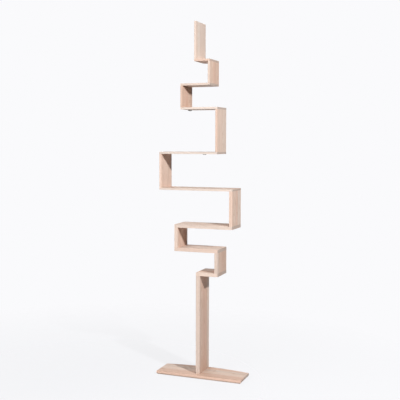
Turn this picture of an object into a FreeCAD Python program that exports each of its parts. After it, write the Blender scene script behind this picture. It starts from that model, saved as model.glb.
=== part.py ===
"""Spine bookshelf: one zigzag of oak boards standing on a column and a bevelled base plate.

The column carries shelf 1. Every shelf lies across the end of the board below it and carries the
next upright on its other end, so shelves and uprights climb in steps to a last upright that ends
free. Every corner is a butt joint with a loose tongue in two stopped grooves, so no joinery shows
outside. The base plate has a straight front and a gently bowed back, and is bevelled underneath.
Three countersunk bolts come up through it into threaded inserts in the foot of the column. Two
small steel loops under shelves 5 and 6 take a strap to the wall.

Frame: +Z up, +X to the right and -Y to the front. The origin is on the floor, under the middle of
the base plate. Every length is in millimetres.
"""
import FreeCAD, Part
import math
import os

import Sketcher

SIZES = [
    # base plate
    ("base_length", 540, "base plate, side to side"),
    ("base_depth", 190, "base plate, front to back at its middle"),
    ("base_bow", 30, "how far the back edge stands out at its middle, beyond its ends"),
    ("base_thickness", 20, "base plate, top to underside"),
    ("base_bevel", 6, "bevel under the edge of the base plate"),
    ("base_edge_round", 1, "round on the top edge of the base plate"),
    # felt pads stuck to the underside of the base plate
    ("pad_diameter", 22, "felt pad, across"),
    ("pad_thickness", 2, "felt pad, thickness"),
    ("pad_inset", 36, "edge of the base plate to the centre of a felt pad"),
    ("back_pad_spacing", 300, "one back felt pad to the other"),
    # boards
    ("board_depth", 160, "shelves, uprights and column, front to back"),
    ("board_edge_round", 1, "round on the open edges of the boards"),
    ("column_offset", -12, "middle of the base plate to the middle of the column"),
    ("column_thickness", 25, "thickness of the column"),
    ("lower_thickness", 20, "thickness of shelves 1 to 3 and uprights 1 to 3"),
    ("upper_thickness", 12, "thickness of shelves 4 to 8 and uprights 4 to 8"),
    ("column_height", 597, "column, base plate to shelf 1"),
    ("upright_1_height", 122, "upright 1, shelf 1 to shelf 2"),
    ("upright_2_height", 122, "upright 2, shelf 2 to shelf 3"),
    ("upright_3_height", 205, "upright 3, shelf 3 to shelf 4"),
    ("upright_4_height", 204, "upright 4, shelf 4 to shelf 5"),
    ("upright_5_height", 251, "upright 5, shelf 5 to shelf 6"),
    ("upright_6_height", 128, "upright 6, shelf 6 to shelf 7"),
    ("upright_7_height", 127, "upright 7, shelf 7 to shelf 8"),
    ("upright_8_height", 220, "upright 8, shelf 8 to its free top"),
    ("shelf_1_length", 137, "shelf 1, side to side"),
    ("shelf_2_length", 276, "shelf 2, side to side"),
    ("shelf_3_length", 366, "shelf 3, side to side"),
    ("shelf_4_length", 464, "shelf 4, side to side"),
    ("shelf_5_length", 369, "shelf 5, side to side"),
    ("shelf_6_length", 232, "shelf 6, side to side"),
    ("shelf_7_length", 184, "shelf 7, side to side"),
    ("shelf_8_length", 97, "shelf 8, side to side"),
    # loose tongues and their grooves
    ("tongue_length", 120, "loose tongue, front to back"),
    ("tongue_glue_gap", 1, "space at the ends and edges of a tongue in its grooves"),
    ("tongue_clearance", 0.05, "gap on each face of a tongue in its grooves"),
    ("tongue_chamfer", 0.5, "chamfer on the long edges of a tongue"),
    ("lower_tongue", 6, "thickness of the tongues in shelves 1 to 3"),
    ("lower_face_groove", 9, "depth of their grooves in the faces of shelves"),
    ("lower_end_groove", 14, "depth of their grooves in the ends of uprights"),
    ("upper_tongue", 4, "thickness of the tongues in shelves 4 to 8"),
    ("upper_face_groove", 5, "depth of their grooves in the faces of shelves"),
    ("upper_end_groove", 11, "depth of their grooves in the ends of uprights"),
    # bolts and threaded inserts at the foot of the column
    ("bolt_count", 3, "bolts into the column"),
    ("bolt_spacing", 48, "one bolt to the next, front to back"),
    ("bolt_diameter", 8, "bolt shank"),
    ("bolt_length", 45, "bolt, head included"),
    ("bolt_head_diameter", 16, "countersunk head, across"),
    ("bolt_head_rim", 0.5, "straight rim of the countersunk head"),
    ("bolt_head_recess", 1, "underside of the base plate to the head"),
    ("bolt_socket", 5, "hexagon socket, across its flats"),
    ("bolt_socket_depth", 3, "hexagon socket, depth"),
    ("bolt_clearance", 0.25, "gap all round the bolt in the base plate"),
    ("insert_diameter", 12, "threaded insert, outside"),
    ("insert_length", 25, "threaded insert, length"),
    ("insert_recess", 0.5, "foot of the column to the insert"),
    ("insert_clearance", 0.05, "gap round the insert and round the bolt in it"),
    ("insert_bore_depth", 30, "bore for an insert in the column"),
    # strap loops under shelves 5 and 6
    ("loop_width", 26, "strap loop, side to side"),
    ("loop_depth", 12, "strap loop, front to back"),
    ("loop_drop", 6, "strap loop, underside of the shelf to its lowest face"),
    ("loop_metal", 1.5, "thickness of the steel strip"),
    ("loop_foot", 7, "length of each screwed foot"),
    ("loop_bend", 0.8, "radius on the bends of the strip"),
    ("loop_setback", 50, "back edge of the shelf to the middle of the loop"),
    ("upper_loop_inset", 18, "left end of shelf 6 to the middle of its loop"),
    ("screw_diameter", 3, "loop screw, shank"),
    ("screw_length", 8, "loop screw, under its head"),
    ("screw_head_diameter", 5.6, "loop screw, head"),
    ("screw_head_height", 1.8, "loop screw, head height"),
    ("screw_tip", 2, "loop screw, length of its point"),
    ("screw_clearance", 0.1, "gap all round a loop screw"),
    ("screw_end_gap", 0.5, "space over the point of a loop screw"),
]

SHELF_COUNT = 8
LAST_LOWER_SHELF = 3
LAST_LOWER_UPRIGHT = 3

doc = FreeCAD.newDocument("spine_bookshelf")
sheet = doc.addObject("Spreadsheet::Sheet", "sizes")
for row, (alias, value, meaning) in enumerate(SIZES, start=1):
    sheet.set("A%d" % row, meaning)
    sheet.set("B%d" % row, str(value))
    sheet.setAlias("B%d" % row, alias)
doc.recompute()

sub_parts = []


# ---------------------------------------------------------------- sketches and features

def value(expression):
    """What an expression of the sizes comes to, in millimetres."""
    return float(sheet.evalExpression(expression))


def new_body(name):
    """Start a sub-part; its name is also the name of its file."""
    body = doc.addObject("PartDesign::Body", name)
    body.Label = name
    sub_parts.append(body)
    return body


def place(body, x, y, z):
    """Bind the place of a sub-part to three expressions."""
    body.setExpression("Placement.Base.x", x)
    body.setExpression("Placement.Base.y", y)
    body.setExpression("Placement.Base.z", z)


def datum(body, role):
    """One of the body's own planes or axes, such as XY_Plane or Y_Axis."""
    for feature in body.Origin.OriginFeatures:
        if feature.Role == role:
            return feature
    raise ValueError("no %s in %s" % (role, body.Label))


def new_sketch(body, name, plane="XY_Plane", x="0", y="0", z="0"):
    """A sketch on one of the body's planes, moved by three expressions in the sketch's axes."""
    sketch = body.newObject("Sketcher::SketchObject", "%s_%s" % (body.Name, name))
    sketch.AttachmentSupport = [(datum(body, plane), "")]
    sketch.MapMode = "FlatFace"
    sketch.setExpression("AttachmentOffset.Base.x", x)
    sketch.setExpression("AttachmentOffset.Base.y", y)
    sketch.setExpression("AttachmentOffset.Base.z", z)
    return sketch


def closed_outline(sketch, points):
    """Straight lines through the points and back to the first, joined end to end."""
    count = len(points)
    for i in range(count):
        start = FreeCAD.Vector(points[i][0], points[i][1], 0)
        end = FreeCAD.Vector(points[(i + 1) % count][0], points[(i + 1) % count][1], 0)
        sketch.addGeometry(Part.LineSegment(start, end), False)
    for i in range(count):
        sketch.addConstraint(Sketcher.Constraint("Coincident", i, 2, (i + 1) % count, 1))
        level = abs(points[i][1] - points[(i + 1) % count][1]) < 1e-9
        upright = abs(points[i][0] - points[(i + 1) % count][0]) < 1e-9
        if level:
            sketch.addConstraint(Sketcher.Constraint("Horizontal", i))
        if upright:
            sketch.addConstraint(Sketcher.Constraint("Vertical", i))


def dimension(sketch, name, kind, references, expression):
    """A named dimension of the sketch, bound to an expression."""
    index = sketch.addConstraint(Sketcher.Constraint(kind, *references, value(expression)))
    sketch.renameConstraint(index, name)
    sketch.setExpression("Constraints.%s" % name, expression)


def circle(sketch, name, diameter, guide=False):
    """A circle round the sketch's origin, or a guide circle that cuts nothing."""
    ring = Part.Circle(FreeCAD.Vector(0, 0, 0), FreeCAD.Vector(0, 0, 1), value(diameter) / 2)
    index = sketch.addGeometry(ring, guide)
    sketch.addConstraint(Sketcher.Constraint("Coincident", index, 3, -1, 1))
    dimension(sketch, name, "Diameter", (index,), diameter)
    return index


def centred_rectangle(sketch, width, depth):
    """A rectangle round the sketch's origin."""
    x = value(width) / 2
    y = value(depth) / 2
    closed_outline(sketch, [(-x, -y), (x, -y), (x, y), (-x, y)])
    sketch.addConstraint(Sketcher.Constraint("Symmetric", 0, 1, 1, 2, -1, 1))
    dimension(sketch, "width", "DistanceX", (0, 1, 0, 2), width)
    dimension(sketch, "depth", "DistanceY", (1, 1, 1, 2), depth)


def hexagon(sketch, across_flats):
    """A regular hexagon round the sketch's origin, with two corners on its X axis."""
    across_corners = "%s / cos(30deg)" % across_flats
    ring = circle(sketch, "across_corners", across_corners, guide=True)
    radius = value(across_corners) / 2
    turns = [math.radians(60 * i) for i in range(6)]
    corners = [FreeCAD.Vector(radius * math.cos(turn), radius * math.sin(turn), 0) for turn in turns]
    first = ring + 1
    for i in range(6):
        sketch.addGeometry(Part.LineSegment(corners[i], corners[(i + 1) % 6]), False)
    for i in range(6):
        side = first + i
        sketch.addConstraint(Sketcher.Constraint("Coincident", side, 2, first + (i + 1) % 6, 1))
        sketch.addConstraint(Sketcher.Constraint("PointOnObject", side, 1, ring))
        if i > 0:
            sketch.addConstraint(Sketcher.Constraint("Equal", first, side))
    sketch.addConstraint(Sketcher.Constraint("PointOnObject", first, 1, -1))


def pad(body, sketch, length, name="blank", both_sides=False):
    """The sketch raised by a length, all on one side of its plane or half on each."""
    feature = body.newObject("PartDesign::Pad", "%s_%s" % (body.Name, name))
    feature.Profile = sketch
    feature.setExpression("Length", length)
    feature.Midplane = both_sides
    return feature


def pocket(body, name, sketch, depth, upward):
    """A blind cut from the sketch, up into the body or down into it."""
    feature = body.newObject("PartDesign::Pocket", "%s_%s" % (body.Name, name))
    feature.Profile = sketch
    feature.setExpression("Length", depth)
    feature.Reversed = upward
    return feature


def revolution(body, sketch):
    """The sketch turned once round its own vertical axis."""
    feature = body.newObject("PartDesign::Revolution", "%s_revolution" % body.Name)
    feature.Profile = sketch
    feature.ReferenceAxis = (sketch, ["V_Axis"])
    feature.Angle = 360
    return feature


def row_of(body, name, features, axis, count, spacing):
    """Repeat features along one of the body's axes, against its direction."""
    pattern = body.newObject("PartDesign::LinearPattern", "%s_%s" % (body.Name, name))
    pattern.Originals = features
    pattern.Direction = (datum(body, axis), [""])
    pattern.Reversed = True
    pattern.setExpression("Occurrences", count)
    pattern.setExpression("Length", "(%s - 1) * %s" % (count, spacing))
    body.Tip = pattern
    return pattern


def edges_where(feature, test):
    """Names of the feature's edges whose middle and direction pass the test."""
    names = []
    for index, edge in enumerate(feature.Shape.Edges, start=1):
        middle = edge.CenterOfMass
        direction = edge.Vertexes[-1].Point - edge.Vertexes[0].Point
        if direction.Length > 0:
            direction.normalize()
        if test(middle, direction):
            names.append("Edge%d" % index)
    return names


def ease(body, name, feature, kind, test, size_name, size):
    """A fillet or chamfer on the edges that pass the test."""
    doc.recompute()
    names = edges_where(feature, test)
    if not names:
        raise ValueError("no edges to ease on %s" % body.Label)
    dressed = body.newObject(kind, "%s_%s" % (body.Name, name))
    dressed.Base = (feature, names)
    dressed.setExpression(size_name, size)
    body.Tip = dressed
    return dressed


def near(a, b):
    return abs(a - b) < 1e-4


# ---------------------------------------------------------------- expressions shared by the boards

def place_of(name, axis):
    """Where another sub-part stands, as a plain number of millimetres."""
    return "%s.Placement.Base.%s / 1mm" % (name, axis)


BACK_RADIUS = "(sizes.base_length ^ 2 / 4 + sizes.base_bow ^ 2) / (2 * sizes.base_bow)"
BACK_PAD_FALL = "%s - sqrt((%s) ^ 2 - sizes.back_pad_spacing ^ 2 / 4)" % (BACK_RADIUS, BACK_RADIUS)
PAD_PLACES = {
    "front": ("sizes.base_length / 2 - sizes.pad_inset", "sizes.pad_inset - sizes.base_depth / 2"),
    "back": ("sizes.back_pad_spacing / 2",
             "sizes.base_depth / 2 - sizes.pad_inset - (%s)" % BACK_PAD_FALL),
}
BOARD_Y = "sizes.base_depth / 2 - sizes.board_depth / 2"
BOLT_Y = "(sizes.bolt_count - 1) * sizes.bolt_spacing / 2"
HEAD_CONE = "(sizes.bolt_head_diameter - sizes.bolt_diameter) / 2"
LOOP_Y = "sizes.board_depth / 2 - sizes.loop_setback"
LOOP_SCREW_X = "(sizes.loop_width - sizes.loop_foot) / 2"


def shelf_thickness(number):
    return "sizes.lower_thickness" if number <= LAST_LOWER_SHELF else "sizes.upper_thickness"


def upright_thickness(number):
    """Number 0 is the column."""
    if number == 0:
        return "sizes.column_thickness"
    return "sizes.lower_thickness" if number <= LAST_LOWER_UPRIGHT else "sizes.upper_thickness"


def upright_height(number):
    return "sizes.column_height" if number == 0 else "sizes.upright_%d_height" % number


def upright_name(number):
    return "column" if number == 0 else "upright_%d" % number


def tongue_set(shelf_number, upright_number):
    """The tongues of a joint: the lower set where both of its boards are lower stock."""
    both_lower = shelf_number <= LAST_LOWER_SHELF and upright_number <= LAST_LOWER_UPRIGHT
    return "lower" if both_lower else "upper"


def upright_on_left(number):
    """Uprights 2, 4, 6 and 8 and the column stand at the left ends of their shelves."""
    return number % 2 == 0


# ---------------------------------------------------------------- boards

def board_blank(body, length, thickness):
    """A board from X = 0 to its length, centred front to back, with its underside at Z = 0."""
    sketch = new_sketch(body, "outline")
    x = value(length)
    y = value("sizes.board_depth / 2")
    closed_outline(sketch, [(0, -y), (x, -y), (x, y), (0, y)])
    sketch.addConstraint(Sketcher.Constraint("PointOnObject", 0, 1, -2))
    dimension(sketch, "length", "DistanceX", (0, 1, 0, 2), length)
    dimension(sketch, "depth", "DistanceY", (1, 1, 1, 2), "sizes.board_depth")
    dimension(sketch, "front_half", "DistanceY", (1, 1, -1, 1), "sizes.board_depth / 2")
    return pad(body, sketch, thickness)


def groove(body, name, x, z, tongues, depth, upward):
    """A stopped groove for a loose tongue, in the face or in the end of a board."""
    sketch = new_sketch(body, name + "_sketch", x=x, z=z)
    width = "sizes.%s_tongue + 2 * sizes.tongue_clearance" % tongues
    length = "sizes.tongue_length + 2 * sizes.tongue_glue_gap"
    centred_rectangle(sketch, width, length)
    return pocket(body, name, sketch, "sizes.%s_%s_groove" % (tongues, depth), upward)


def make_upright(number):
    """The column or an upright, with a groove in each end that meets a shelf."""
    body = new_body(upright_name(number))
    thickness = upright_thickness(number)
    height = upright_height(number)
    blank = board_blank(body, thickness, height)
    top_is_free = number == SHELF_COUNT

    doc.recompute()
    top_z = blank.Shape.BoundBox.ZMax

    def open_edge(middle, direction):
        if abs(direction.z) > 0.5:
            return True
        return top_is_free and near(middle.z, top_z)

    ease(body, "eased_edges", blank, "PartDesign::Fillet", open_edge,
         "Radius", "sizes.board_edge_round")

    middle_x = "%s / 2" % thickness
    if number > 0:
        groove(body, "foot_groove", middle_x, "0", tongue_set(number, number), "end", True)
    if not top_is_free:
        tongues = tongue_set(number + 1, number)
        groove(body, "head_groove", middle_x, height, tongues, "end", False)

    if number == 0:
        sketch = new_sketch(body, "insert_bore_sketch", x=middle_x, y=BOLT_Y)
        circle(sketch, "bore", "sizes.insert_diameter + 2 * sizes.insert_clearance")
        bore = pocket(body, "insert_bore", sketch, "sizes.insert_bore_depth", True)
        row_of(body, "insert_bores", [bore], "Y_Axis", "sizes.bolt_count", "sizes.bolt_spacing")
        place(body, "sizes.column_offset - %s" % middle_x, BOARD_Y,
              "sizes.pad_thickness + sizes.base_thickness")
        return body

    shelf = "shelf_%d" % number
    if upright_on_left(number):
        x = place_of(shelf, "x")
    else:
        x = "%s + sizes.%s_length - %s" % (place_of(shelf, "x"), shelf, thickness)
    place(body, x, BOARD_Y, "%s + %s" % (place_of(shelf, "z"), shelf_thickness(number)))
    return body


def make_shelf(number, loop_x=None):
    """A shelf on the board below it, grooved for that board and for the upright it carries."""
    body = new_body("shelf_%d" % number)
    length = "sizes.shelf_%d_length" % number
    thickness = shelf_thickness(number)
    below = number - 1
    blank = board_blank(body, length, thickness)

    doc.recompute()
    box = blank.Shape.BoundBox
    upright_is_left = upright_on_left(number)

    def open_edge(middle, direction):
        if abs(direction.x) > 0.5:
            return True
        if abs(direction.y) < 0.5:
            return False
        free_left = box.ZMin if upright_is_left else box.ZMax
        free_right = box.ZMax if upright_is_left else box.ZMin
        at_left = near(middle.x, box.XMin) and near(middle.z, free_left)
        at_right = near(middle.x, box.XMax) and near(middle.z, free_right)
        return at_left or at_right

    ease(body, "eased_edges", blank, "PartDesign::Fillet", open_edge,
         "Radius", "sizes.board_edge_round")

    above_x = "%s / 2" % upright_thickness(number)
    below_x = "%s / 2" % upright_thickness(below)
    if upright_is_left:
        below_x = "%s - %s" % (length, below_x)
    else:
        above_x = "%s - %s" % (length, above_x)
    groove(body, "under_groove", below_x, "0", tongue_set(number, below), "face", True)
    groove(body, "over_groove", above_x, thickness, tongue_set(number, number), "face", False)

    if loop_x:
        sketch = new_sketch(body, "screw_bore_sketch", x="%s + %s" % (loop_x, LOOP_SCREW_X), y=LOOP_Y)
        circle(sketch, "bore", "sizes.screw_diameter + 2 * sizes.screw_clearance")
        depth = "sizes.screw_length - sizes.loop_metal + sizes.screw_end_gap"
        bore = pocket(body, "screw_bore", sketch, depth, True)
        row_of(body, "screw_bores", [bore], "X_Axis", "2", "2 * %s" % LOOP_SCREW_X)

    under = upright_name(below)
    if upright_is_left:
        x = "%s + %s - %s" % (place_of(under, "x"), upright_thickness(below), length)
    else:
        x = place_of(under, "x")
    place(body, x, BOARD_Y, "%s + %s" % (place_of(under, "z"), upright_height(below)))
    return body


# ---------------------------------------------------------------- loose tongues

def make_tongue(shelf_number, upright_number):
    """The tongue between a shelf and the board under it or the upright on it."""
    under = upright_number < shelf_number
    body = new_body("tongue_%s_shelf_%d" % ("under" if under else "over", shelf_number))
    tongues = tongue_set(shelf_number, upright_number)
    face_groove = "sizes.%s_face_groove" % tongues
    end_groove = "sizes.%s_end_groove" % tongues
    sketch = new_sketch(body, "section")
    centred_rectangle(sketch, "sizes.%s_tongue" % tongues, "sizes.tongue_length")
    strip = pad(body, sketch, "%s + %s - 2 * sizes.tongue_glue_gap" % (face_groove, end_groove))
    ease(body, "chamfers", strip, "PartDesign::Chamfer",
         lambda middle, direction: abs(direction.y) > 0.5, "Size", "sizes.tongue_chamfer")

    upright = upright_name(upright_number)
    x = "%s + %s / 2" % (place_of(upright, "x"), upright_thickness(upright_number))
    if under:
        joint = "%s - %s" % (place_of("shelf_%d" % shelf_number, "z"), end_groove)
    else:
        joint = "%s - %s" % (place_of(upright, "z"), face_groove)
    place(body, x, BOARD_Y, "%s + sizes.tongue_glue_gap" % joint)
    return body


# ---------------------------------------------------------------- base plate and its fasteners

def bow_backed_outline(sketch):
    """Straight front and ends, and an arc for the back, as wide and deep as the base plate."""
    x = value("sizes.base_length / 2")
    y = value("sizes.base_depth / 2")
    end_y = y - value("sizes.base_bow")
    front_left = FreeCAD.Vector(-x, -y, 0)
    front_right = FreeCAD.Vector(x, -y, 0)
    back_right = FreeCAD.Vector(x, end_y, 0)
    back_left = FreeCAD.Vector(-x, end_y, 0)
    sketch.addGeometry(Part.LineSegment(front_left, front_right), False)
    sketch.addGeometry(Part.LineSegment(front_right, back_right), False)
    sketch.addGeometry(Part.Arc(back_right, FreeCAD.Vector(0, y, 0), back_left), False)
    sketch.addGeometry(Part.LineSegment(back_left, front_left), False)
    sketch.addConstraint(Sketcher.Constraint("Coincident", 0, 2, 1, 1))
    sketch.addConstraint(Sketcher.Constraint("Coincident", 1, 2, 2, 1))
    sketch.addConstraint(Sketcher.Constraint("Coincident", 2, 2, 3, 1))
    sketch.addConstraint(Sketcher.Constraint("Coincident", 3, 2, 0, 1))
    sketch.addConstraint(Sketcher.Constraint("Symmetric", 0, 1, 0, 2, -2))
    sketch.addConstraint(Sketcher.Constraint("Vertical", 1))
    sketch.addConstraint(Sketcher.Constraint("Vertical", 3))
    sketch.addConstraint(Sketcher.Constraint("PointOnObject", 2, 3, -2))
    dimension(sketch, "length", "DistanceX", (0, 1, 0, 2), "sizes.base_length")
    dimension(sketch, "front", "DistanceY", (0, 2, -1, 1), "sizes.base_depth / 2")
    dimension(sketch, "end_depth", "DistanceY", (1, 1, 1, 2), "sizes.base_depth - sizes.base_bow")
    dimension(sketch, "back_radius", "Radius", (2,), BACK_RADIUS)


def make_base_plate():
    """A plank with a bowed back, bevelled under its edges and drilled for the bolts."""
    body = new_body("base_plate")
    sketch = new_sketch(body, "outline")
    bow_backed_outline(sketch)
    plank = pad(body, sketch, "sizes.base_thickness")

    doc.recompute()
    top_z = plank.Shape.BoundBox.ZMax

    bevelled = ease(body, "bevel", plank, "PartDesign::Chamfer",
                    lambda middle, direction: near(middle.z, 0), "Size", "sizes.base_bevel")
    ease(body, "eased_edges", bevelled, "PartDesign::Fillet",
         lambda middle, direction: near(middle.z, top_z), "Radius", "sizes.base_edge_round")

    # bolt hole: a straight bore, a cone for the head and a short recess below the head
    sketch = new_sketch(body, "bolt_hole_section", plane="XZ_Plane",
                        x="sizes.column_offset", z="-1 * (%s + %s)" % (BOARD_Y, BOLT_Y))
    head_radius = "sizes.bolt_head_diameter / 2 + sizes.bolt_clearance"
    bore_radius = "sizes.bolt_diameter / 2 + sizes.bolt_clearance"
    head_seat = "sizes.bolt_head_recess + sizes.bolt_head_rim"
    wide = value(head_radius)
    narrow = value(bore_radius)
    seat = value(head_seat)
    top = value("sizes.base_thickness")
    closed_outline(sketch, [(0, 0), (wide, 0), (wide, seat), (narrow, seat + value(HEAD_CONE)),
                            (narrow, top), (0, top)])
    sketch.addConstraint(Sketcher.Constraint("Coincident", 0, 1, -1, 1))
    dimension(sketch, "head_radius", "DistanceX", (-1, 1, 1, 1), head_radius)
    dimension(sketch, "head_seat", "DistanceY", (1, 1, 1, 2), head_seat)
    dimension(sketch, "cone", "DistanceY", (2, 1, 2, 2), HEAD_CONE)
    dimension(sketch, "bore_radius", "DistanceX", (-1, 1, 3, 1), bore_radius)
    dimension(sketch, "thickness", "DistanceY", (-1, 1, 4, 1), "sizes.base_thickness")
    hole = body.newObject("PartDesign::Groove", "base_plate_bolt_hole")
    hole.Profile = sketch
    hole.ReferenceAxis = (sketch, ["V_Axis"])
    hole.Angle = 360
    row_of(body, "bolt_holes", [hole], "Y_Axis", "sizes.bolt_count", "sizes.bolt_spacing")
    place(body, "0", "0", "sizes.pad_thickness")
    return body


def make_felt_pads():
    """Two pads near the front corners and two behind, nearer the middle."""
    body = new_body("felt_pads")
    discs = []
    for name, (x, y) in PAD_PLACES.items():
        sketch = new_sketch(body, "%s_disc" % name, x=x, y=y)
        circle(sketch, "edge", "sizes.pad_diameter")
        discs.append(pad(body, sketch, "sizes.pad_thickness", name))
    mirror = body.newObject("PartDesign::Mirrored", "felt_pads_left_half")
    mirror.Originals = discs
    mirror.MirrorPlane = (datum(body, "YZ_Plane"), [""])
    body.Tip = mirror
    place(body, "0", "0", "0")
    return body


def make_base_bolts():
    """Countersunk bolts with hexagon sockets, heads down."""
    body = new_body("base_bolts")
    sketch = new_sketch(body, "profile", plane="XZ_Plane")
    head = value("sizes.bolt_head_diameter / 2")
    rim = value("sizes.bolt_head_rim")
    shank = value("sizes.bolt_diameter / 2")
    end = value("sizes.bolt_length")
    closed_outline(sketch, [(0, 0), (head, 0), (head, rim), (shank, rim + value(HEAD_CONE)),
                            (shank, end), (0, end)])
    sketch.addConstraint(Sketcher.Constraint("Coincident", 0, 1, -1, 1))
    dimension(sketch, "head_radius", "DistanceX", (-1, 1, 1, 1), "sizes.bolt_head_diameter / 2")
    dimension(sketch, "rim", "DistanceY", (1, 1, 1, 2), "sizes.bolt_head_rim")
    dimension(sketch, "cone", "DistanceY", (2, 1, 2, 2), HEAD_CONE)
    dimension(sketch, "shank_radius", "DistanceX", (-1, 1, 3, 1), "sizes.bolt_diameter / 2")
    dimension(sketch, "length", "DistanceY", (-1, 1, 4, 2), "sizes.bolt_length")
    turned = revolution(body, sketch)

    sketch = new_sketch(body, "socket_sketch")
    hexagon(sketch, "sizes.bolt_socket")
    socket = pocket(body, "socket", sketch, "sizes.bolt_socket_depth", True)
    row_of(body, "row", [turned, socket], "Y_Axis", "sizes.bolt_count", "sizes.bolt_spacing")
    place(body, "sizes.column_offset", "%s + %s" % (BOARD_Y, BOLT_Y),
          "sizes.pad_thickness + sizes.bolt_head_recess")
    return body


def make_threaded_inserts():
    """Brass sleeves in the foot of the column, one round each bolt."""
    body = new_body("threaded_inserts")
    sketch = new_sketch(body, "ring")
    circle(sketch, "outside", "sizes.insert_diameter")
    circle(sketch, "inside", "sizes.bolt_diameter + 2 * sizes.insert_clearance")
    sleeve = pad(body, sketch, "sizes.insert_length")
    row_of(body, "row", [sleeve], "Y_Axis", "sizes.bolt_count", "sizes.bolt_spacing")
    place(body, "sizes.column_offset", "%s + %s" % (BOARD_Y, BOLT_Y),
          "%s + sizes.insert_recess" % place_of("column", "z"))
    return body


# ---------------------------------------------------------------- strap loops

def make_strap_loop(name, shelf_number, loop_x):
    """A strip bent to a hat section: two screwed feet and a bridge for the strap."""
    body = new_body(name)
    sketch = new_sketch(body, "section", plane="XZ_Plane")
    metal = value("sizes.loop_metal")
    drop = value("sizes.loop_drop")
    end = value("sizes.loop_width / 2")
    outside = end - value("sizes.loop_foot")
    inside = outside - metal
    points = [(-end, 0), (-inside, 0), (-inside, metal - drop), (inside, metal - drop),
              (inside, 0), (end, 0), (end, -metal), (outside, -metal), (outside, -drop),
              (-outside, -drop), (-outside, -metal), (-end, -metal)]
    closed_outline(sketch, points)
    sketch.addConstraint(Sketcher.Constraint("PointOnObject", 0, 1, -1))
    sketch.addConstraint(Sketcher.Constraint("PointOnObject", 4, 2, -1))
    sketch.addConstraint(Sketcher.Constraint("Equal", 0, 4))
    sketch.addConstraint(Sketcher.Constraint("Equal", 6, 10))
    sketch.addConstraint(Sketcher.Constraint("Horizontal", 6, 2, 10, 1))
    bridge = "sizes.loop_width - 2 * sizes.loop_foot"
    dimension(sketch, "width", "DistanceX", (0, 1, 4, 2), "sizes.loop_width")
    dimension(sketch, "right_half", "DistanceX", (-1, 1, 4, 2), "sizes.loop_width / 2")
    dimension(sketch, "bridge", "DistanceX", (8, 2, 8, 1), bridge)
    dimension(sketch, "web", "DistanceX", (3, 2, 6, 2), "sizes.loop_metal")
    dimension(sketch, "foot_metal", "DistanceY", (5, 2, 5, 1), "sizes.loop_metal")
    dimension(sketch, "drop", "DistanceY", (8, 1, 4, 2), "sizes.loop_drop")
    dimension(sketch, "bridge_metal", "DistanceY", (8, 2, 2, 1), "sizes.loop_metal")
    strip = pad(body, sketch, "sizes.loop_depth", both_sides=True)

    doc.recompute()
    box = strip.Shape.BoundBox

    def outer_bend(middle, direction):
        return abs(direction.y) > 0.5 and near(middle.z, box.ZMin)

    ease(body, "bends", strip, "PartDesign::Fillet", outer_bend, "Radius", "sizes.loop_bend")
    sketch = new_sketch(body, "screw_hole_sketch", x=LOOP_SCREW_X)
    circle(sketch, "hole", "sizes.screw_diameter + 2 * sizes.screw_clearance")
    hole = pocket(body, "screw_hole", sketch, "sizes.loop_metal", False)
    row_of(body, "screw_holes", [hole], "X_Axis", "2", "2 * %s" % LOOP_SCREW_X)
    shelf = "shelf_%d" % shelf_number
    place(body, "%s + %s" % (place_of(shelf, "x"), loop_x), "%s + %s" % (BOARD_Y, LOOP_Y),
          place_of(shelf, "z"))
    return body


def make_loop_screws(name, loop):
    """Pan-head screws, one in each foot of a strap loop, heads down."""
    body = new_body(name)
    sketch = new_sketch(body, "profile", plane="XZ_Plane")
    head = value("sizes.screw_head_diameter / 2")
    rise = value("sizes.screw_head_height")
    shank = value("sizes.screw_diameter / 2")
    end = value("sizes.screw_length")
    tip = value("sizes.screw_tip")
    closed_outline(sketch, [(0, -rise), (head, -rise), (head, 0), (shank, 0), (shank, end - tip),
                            (0, end)])
    sketch.addConstraint(Sketcher.Constraint("PointOnObject", 0, 1, -2))
    sketch.addConstraint(Sketcher.Constraint("PointOnObject", 2, 1, -1))
    dimension(sketch, "head_height", "DistanceY", (0, 1, -1, 1), "sizes.screw_head_height")
    dimension(sketch, "head_radius", "DistanceX", (-1, 1, 2, 1), "sizes.screw_head_diameter / 2")
    dimension(sketch, "shank_radius", "DistanceX", (-1, 1, 3, 1), "sizes.screw_diameter / 2")
    dimension(sketch, "length", "DistanceY", (-1, 1, 4, 2), "sizes.screw_length")
    dimension(sketch, "tip", "DistanceY", (4, 1, 4, 2), "sizes.screw_tip")
    turned = revolution(body, sketch)
    row_of(body, "pair", [turned], "X_Axis", "2", "2 * %s" % LOOP_SCREW_X)
    place(body, "%s + %s" % (place_of(loop, "x"), LOOP_SCREW_X), place_of(loop, "y"),
          "%s - sizes.loop_metal" % place_of(loop, "z"))
    return body


# ---------------------------------------------------------------- the assembly, from the floor up

# the lower loop lies over the column; upright 4 and shelf 5 share their left faces
lower_loop_x = "sizes.column_offset - %s" % place_of("upright_4", "x")
upper_loop_x = "sizes.upper_loop_inset"

make_felt_pads()
make_base_plate()
make_upright(0)
make_base_bolts()
make_threaded_inserts()
for number in range(1, SHELF_COUNT + 1):
    loop_places = {5: lower_loop_x, 6: upper_loop_x}
    make_shelf(number, loop_places.get(number))
    make_upright(number)
    make_tongue(number, number - 1)
    make_tongue(number, number)
make_strap_loop("lower_strap_loop", 5, lower_loop_x)
make_strap_loop("upper_strap_loop", 6, upper_loop_x)
make_loop_screws("lower_loop_screws", "lower_strap_loop")
make_loop_screws("upper_loop_screws", "upper_strap_loop")
doc.recompute()

for item in doc.Objects:
    faults = [word for word in item.State if word in ("Invalid", "Error")]
    if faults:
        raise RuntimeError("%s: %s" % (item.Name, ", ".join(faults)))
for body in sub_parts:
    if body.Shape.isNull() or not body.Shape.isValid():
        raise RuntimeError("%s has no valid shape" % body.Label)

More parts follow.
